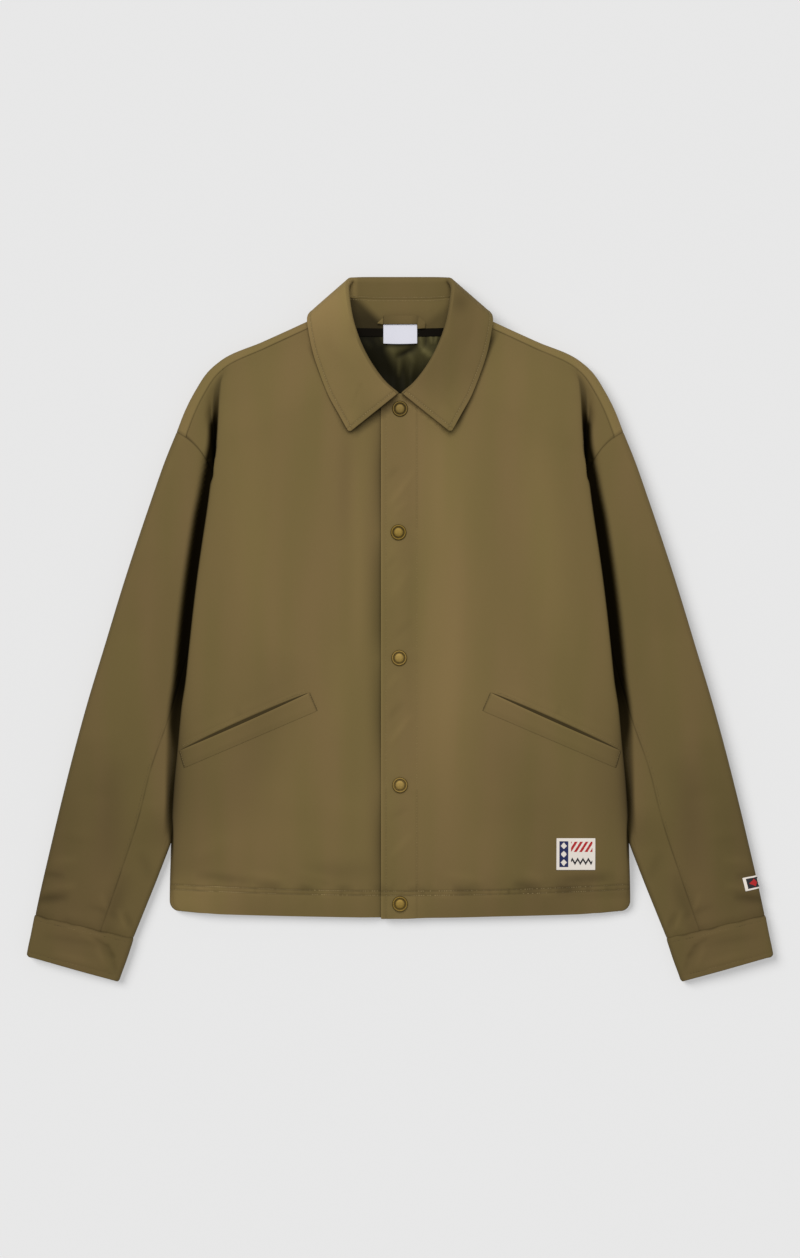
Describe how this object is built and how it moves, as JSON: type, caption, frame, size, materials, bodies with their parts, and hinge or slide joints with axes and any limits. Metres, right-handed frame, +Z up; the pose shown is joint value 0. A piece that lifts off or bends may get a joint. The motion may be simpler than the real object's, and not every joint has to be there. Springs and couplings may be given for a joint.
{
  "type": "shirt jacket",
  "caption": "Olive shirt jacket laid flat on its back: turned-down collar, snap placket, slanted welt pockets, set-in sleeves with plain cuffs, open hem, neck and cuffs.",
  "frame": {"origin": "centre of the jacket's footprint, on the surface it lies on", "axes": "+X towards the wearer's left sleeve, +Y from the hem to the collar, +Z up off the surface, out of the front"},
  "size_m": [0.8342, 0.7903, 0.0442],
  "materials": {
    "olive_cloth": "matt cotton twill, olive",
    "olive_cloth_shade": "matt cotton twill, olive, doubled",
    "lining_satin": "dark satin",
    "tape": "black woven tape",
    "label_white": "blank white woven label",
    "label_cream": "cream woven patch",
    "snap_brass": "antique brass, satin"
  },
  "bodies": {
    "root": {"back": "olive_cloth", "collar_leaf": "olive_cloth", "collar_stand": "olive_cloth_shade", "cuff_left": "olive_cloth_shade", "cuff_right": "olive_cloth_shade", "front_left": "olive_cloth", "front_right": "olive_cloth", "hanger_loop": "olive_cloth_shade", "lining": "lining_satin", "neck_label": "label_white", "neck_tape": "tape", "patch_label": "label_cream", "sleeve_badge": "label_cream", "sleeve_left_under": "olive_cloth_shade", "sleeve_left_upper": "olive_cloth", "sleeve_right_under": "olive_cloth_shade", "sleeve_right_upper": "olive_cloth", "snap_1": "snap_brass", "snap_2": "snap_brass", "snap_3": "snap_brass", "snap_4": "snap_brass", "snap_5": "snap_brass", "welt_left": "olive_cloth_shade", "welt_right": "olive_cloth_shade"}
  },
  "joints": []
}
